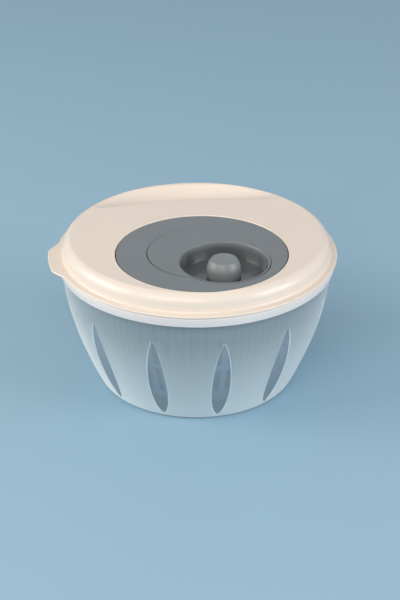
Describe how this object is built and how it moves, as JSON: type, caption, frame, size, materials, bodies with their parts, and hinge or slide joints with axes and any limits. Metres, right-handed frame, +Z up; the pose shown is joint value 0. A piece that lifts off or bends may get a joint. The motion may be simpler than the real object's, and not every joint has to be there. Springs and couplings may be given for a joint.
{
  "type": "salad spinner",
  "caption": "Salad spinner with a translucent windowed bowl, a slotted basket and a lid whose off-centre hand rotor spins the basket through an internal gear.",
  "frame": {"origin": "on the bowl's axis, in the plane of the flat base that the bowl stands on", "axes": "+Z up along the bowl's axis; the rotor lies off-centre towards -Y and the lid's finger scoop towards +Y, so +X is to the right when facing the rotor"},
  "size_m": [0.257, 0.25, 0.1388],
  "materials": {
    "bowl_frosted": "frosted translucent polypropylene with polished clear windows",
    "basket_translucent": "translucent polypropylene, fine satin",
    "lid_cream": "warm off-white moulded plastic, soft satin gloss",
    "rotor_grey": "mid grey moulded plastic, satin",
    "knob_grey": "mid grey moulded plastic, polished by hand",
    "acetal": "natural white acetal, machined-smooth moulding",
    "stainless": "turned and tumbled stainless steel"
  },
  "bodies": {
    "bowl": {"bowl": "bowl_frosted", "pivot_pin": "stainless"},
    "spindle": {"basket_spindle": "acetal"},
    "basket": {"basket": "basket_translucent"},
    "lid": {"lid": "lid_cream", "glide_ring": "acetal", "rotor_bush": "acetal", "rotor_washer": "stainless", "rotor_screw": "stainless", "pinion_bush": "acetal", "pinion_washer": "stainless"},
    "rotor": {"rotor_disc": "rotor_grey", "rotor_inlay": "rotor_grey", "ring_gear": "acetal", "ring_gear_screws": "stainless", "knob_washer": "stainless", "knob_screw": "stainless"},
    "knob": {"knob": "knob_grey", "knob_cap": "knob_grey"},
    "drive": {"pinion": "acetal", "drive_plate": "basket_translucent", "drive_washer": "stainless", "drive_screw": "stainless"}
  },
  "joints": [
    {"name": "lid_lift", "type": "slide", "parent": "bowl", "child": "lid", "axis": [0, 0, 1], "range_m": [0, 0.26]},
    {"name": "rotor_spin", "type": "hinge", "parent": "lid", "child": "rotor", "pos_m": [0, -0.036, 0.125], "axis": [0, 0, 1], "continuous": true},
    {"name": "knob_spin", "type": "hinge", "parent": "rotor", "child": "knob", "pos_m": [0.01639, -0.05553, 0.13], "axis": [0, 0, 1], "continuous": true},
    {"name": "drive_spin", "type": "hinge", "parent": "lid", "child": "drive", "pos_m": [0, 0, 0.105], "axis": [0, 0, 1], "continuous": true},
    {"name": "basket_spin", "type": "hinge", "parent": "bowl", "child": "spindle", "pos_m": [0, 0, 0.012], "axis": [0, 0, 1], "continuous": true},
    {"name": "basket_lift", "type": "slide", "parent": "spindle", "child": "basket", "axis": [0, 0, 1], "range_m": [0, 0.13]}
  ],
  "couplings": [
    {"joint": "drive_spin", "follows": "rotor_spin", "ratio": 3},
    {"joint": "basket_spin", "follows": "rotor_spin", "ratio": 3},
    {"joint": "basket_lift", "follows": "lid_lift", "ratio": 0.5}
  ]
}
